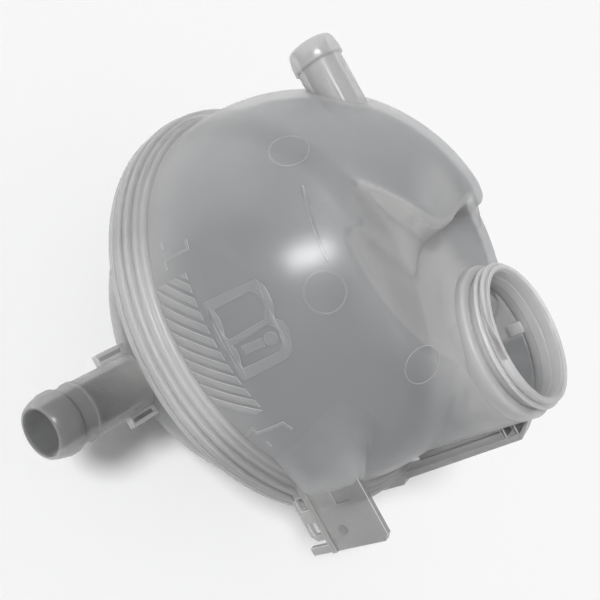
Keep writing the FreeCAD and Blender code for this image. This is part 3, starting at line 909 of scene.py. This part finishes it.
def dense(loop, closed=True):
    ends = loop[1:] + loop[:1] if closed else loop[1:]
    points = []
    for first, last in zip(loop, ends):
        count = max(1, int((last - first).length / marks["step"]))
        points += [first.lerp(last, index / count) for index in range(count)]
    return points if closed else points + [loop[-1]]


def stroke(path, width):
    # the outline of a line of one width along a path
    left, right = [], []
    for index, point in enumerate(path):
        before = path[max(index - 1, 0)]
        after = path[min(index + 1, len(path) - 1)]
        first = (point - before).normalized() if index else (after - point).normalized()
        last = (after - point).normalized() if index < len(path) - 1 else first
        lean = first + last
        side = Vector((-lean.y, lean.x)).normalized()
        half = width / 2 / max(marks["sharpest"], side.dot(Vector((-first.y, first.x))))
        left.append(point + side * half)
        right.append(point - side * half)
    return left + right[::-1]


def ringLoop(turn, rise, radius, count):
    middle = flat(turn, rise)
    wide = radius * squeeze / cos(radians(rise))
    angles = [2 * pi * index / count for index in range(count)]
    return [middle + Vector((cos(angle) * wide, sin(angle) * radius)) for angle in angles]


def raiseMark(name, loops):
    curve = bpy.data.curves.new(name, "CURVE")
    curve.dimensions = "2D"
    curve.fill_mode = "BOTH"
    curve.extrude = marks["height"]
    curve.bevel_depth = marks["round"]
    curve.bevel_resolution = marks["roundSteps"]
    for loop in loops:
        points = dense(loop)
        spline = curve.splines.new("POLY")
        spline.points.add(len(points) - 1)
        for spot, point in zip(spline.points, points):
            spot.co = (point.x, point.y, 0, 1)
        spline.use_cyclic_u = True
    mark = bpy.data.objects.new(name, curve)
    bpy.context.scene.collection.objects.link(mark)
    activate(mark)
    bpy.ops.object.convert(target="MESH")
    return bpy.context.object


def clipTurns(corners):
    # cuts a polygon at both ends of the level band
    for limit, sign in ((marks["bandFrom"], 1), (marks["bandTo"], -1)):
        kept = []
        for (turn, rise), (nextTurn, nextRise) in zip(corners, corners[1:] + corners[:1]):
            here, there = sign * (turn - limit), sign * (nextTurn - limit)
            if here >= 0:
                kept.append((turn, rise))
            if here * there < 0:
                share = here / (here - there)
                kept.append((limit, rise + (nextRise - rise) * share))
        corners = kept
    return corners


def makeStrips():
    low, high, wide = marks["bandLow"], marks["bandHigh"], marks["stripWide"]
    slant = marks["stripSlant"] / high * (high - low)
    strips = []
    for index in range(marks["stripCount"]):
        top = marks["stripFirst"] + index * marks["stripPitch"]
        loop = clipTurns([(top, high), (top + wide, high), (top + wide - slant, low), (top - slant, low)])
        if len(loop) > 2:
            strips.append(raiseMark("strip", [flatAll(loop)]))
    return strips


def onPartingLine(spot):
    arm = spot - ballCentre
    turn, rise = degrees(atan2(arm.y, arm.x)), degrees(asin(arm.z / arm.length))
    slack = marks["lineSlack"]
    alongLine = marks["lineFrom"] - slack < turn < marks["lineTo"] + slack
    return alongLine and abs(rise - marks["lineRise"]) < slack


def makeMarks():
    made = makeStrips()
    made.append(raiseMark("book", [flatAll(marks[part]) for part in ("book", "pageUpper", "pageLower")]))
    turn, rise, radius = marks["signDot"]
    made.append(raiseMark("dot", [ringLoop(turn, rise, radius * degreeLength, marks["dotSteps"])]))
    made.append(raiseMark("bar", [stroke(flatAll(marks["signBar"]), marks["signWide"])]))
    for path in marks["tabs"]:
        made.append(raiseMark("tab", [stroke(flatAll(path), marks["tabWide"])]))
    line = flatAll([(marks[end], marks["lineRise"]) for end in ("lineFrom", "lineTo")])
    made.append(raiseMark("line", [stroke(dense(line, closed=False), marks["lineWide"])]))
    outer, steps = marks["ejectorRadius"], marks["ejectorSteps"]
    for turn, rise, wide in marks["ejectors"]:
        rings = [ringLoop(turn, rise, radius, steps) for radius in (outer, outer - wide * mm)]
        made.append(raiseMark("ejector", rings))
    piece = joinAll("raised_marks", made)
    # wide faces are divided while the marks are flat, so that they bend with the ball
    for division in range(marks["divisions"]):
        pickFaces(piece, lambda face: face.area > marks["wideFace"])
        bpy.ops.mesh.subdivide(number_cuts=1)
        objectMode()
    for vertex in piece.data.vertices:
        vertex.co = ontoBall(vertex.co)
    editAll(piece)
    bpy.ops.mesh.remove_doubles(threshold=mergeReach)
    bpy.ops.mesh.normals_make_consistent(inside=False)
    objectMode()
    smoothShade(piece, marks["smooth"])
    # painted light: the marks take the ball's painted light a little paler, and their sloping sides and the
    # parting line the pale edge plastic
    paint(piece, shellPlastic, edgeLightPlastic)
    setPaleMap(piece, lambda vertex: paintedLightAt(vertex.co - ballCentre) + marks["pale"])
    for face in piece.data.polygons:
        leans = abs(face.normal.dot((face.center - ballCentre).normalized())) < marks["edgeLean"]
        face.material_index = 1 if leans or onPartingLine(face.center) else 0
    settle(piece)


makeMarks()


# Floor, light and camera.
studio = {
    "floorZ": cadBox[0].z - 0.2 * mm, "floorSize": 6.0, "floorColour": (0.95, 0.95, 0.95, 1),
    "floorRough": 0.9,
    "lampWay": (-0.275, -0.666, 0.694), "lampDistance": 3.0, "lampAngle": radians(11), "lampStrength": 3.0,
    "glossSize": (1.25, 0.5), "glossLean": radians(18), "glossPower": 85.0,
    "skyStrength": 0.32, "skySeen": 0.95}

bpy.ops.mesh.primitive_plane_add(
    size=studio["floorSize"], location=(ballCentre.x, ballCentre.y, studio["floorZ"]))
floor = bpy.context.object
floor.name = "floor"
floorPaint, floorShader = newMaterial("pale_floor")
floorShader.inputs["Base Color"].default_value = studio["floorColour"]
floorShader.inputs["Roughness"].default_value = studio["floorRough"]
floor.data.materials.append(floorPaint)


def turned(right, up, back):
    return Matrix((right, up, back)).transposed().to_4x4()


def addLamp(name, kind):
    lamp = bpy.data.objects.new(name, bpy.data.lights.new(name, kind))
    bpy.context.scene.collection.objects.link(lamp)
    return lamp


camera = {
    "place": (-0.07853, -0.16383, 0.1632), "right": (0.4833, 0.5256, 0.7001),
    "up": (-0.8752, 0.3075, 0.3734), "lens": 42.0, "sensor": 36.0, "clip": 10 * mm}
right = Vector(camera["right"]).normalized()
back = right.cross(Vector(camera["up"])).normalized()
up = back.cross(right)
cameraData = bpy.data.cameras.new("camera")
cameraData.lens = camera["lens"]
cameraData.sensor_width = camera["sensor"]
cameraData.clip_start = camera["clip"]
cameraObject = bpy.data.objects.new("camera", cameraData)
bpy.context.scene.collection.objects.link(cameraObject)
cameraObject.matrix_world = Matrix.Translation(Vector(camera["place"])) @ turned(right, up, back)
bpy.context.scene.camera = cameraObject

# an even lamp gives the tones, and a wide one from the same side shows in the gloss alone
lampWay = Vector(studio["lampWay"]).normalized()
keyLamp = addLamp("key_lamp", "SUN")
keyLamp.data.angle = studio["lampAngle"]
keyLamp.data.energy = studio["lampStrength"]
keyLamp.visible_glossy = False
lampTurn = lampWay.to_track_quat("Z", "Y").to_matrix().to_4x4()
keyLamp.matrix_world = Matrix.Translation(ballCentre + lampWay) @ lampTurn
glossLamp = addLamp("gloss_lamp", "AREA")
glossLamp.data.shape = "RECTANGLE"
glossLamp.data.size, glossLamp.data.size_y = studio["glossSize"]
glossLamp.data.energy = studio["glossPower"]
glossLamp.visible_diffuse = False
# the gloss lamp's long side lies across the picture, leaning a little
longSide = right * cos(studio["glossLean"]) + up * sin(studio["glossLean"])
longSide = (longSide - lampWay * longSide.dot(lampWay)).normalized()
glossPlace = Matrix.Translation(ballCentre + lampWay * studio["lampDistance"])
glossLamp.matrix_world = glossPlace @ turned(longSide, lampWay.cross(longSide), lampWay)

# the sky lights softly, and looks brighter where it is seen, mirrored or seen through a wall
world = bpy.data.worlds.new("studio_sky")
bpy.context.scene.world = world
world.use_nodes = True
sky = Wire(world.node_tree, None)
skyPaint = world.node_tree.nodes["Background"]
skyPaint.inputs[0].default_value = (1, 1, 1, 1)
seen, mirrored, through = [
    sky.node("ShaderNodeLightPath", {}, {}, out=way)
    for way in ("Is Camera Ray", "Is Glossy Ray", "Is Transmission Ray")]
shown = sky.maths("MAXIMUM", sky.maths("MAXIMUM", seen, mirrored), through)
glow = studio["skyStrength"] + shown * (studio["skySeen"] - studio["skyStrength"])
world.node_tree.links.new(glow.socket, skyPaint.inputs[1])
bpy.context.scene.view_settings.view_transform = "Standard"
print("stage set")
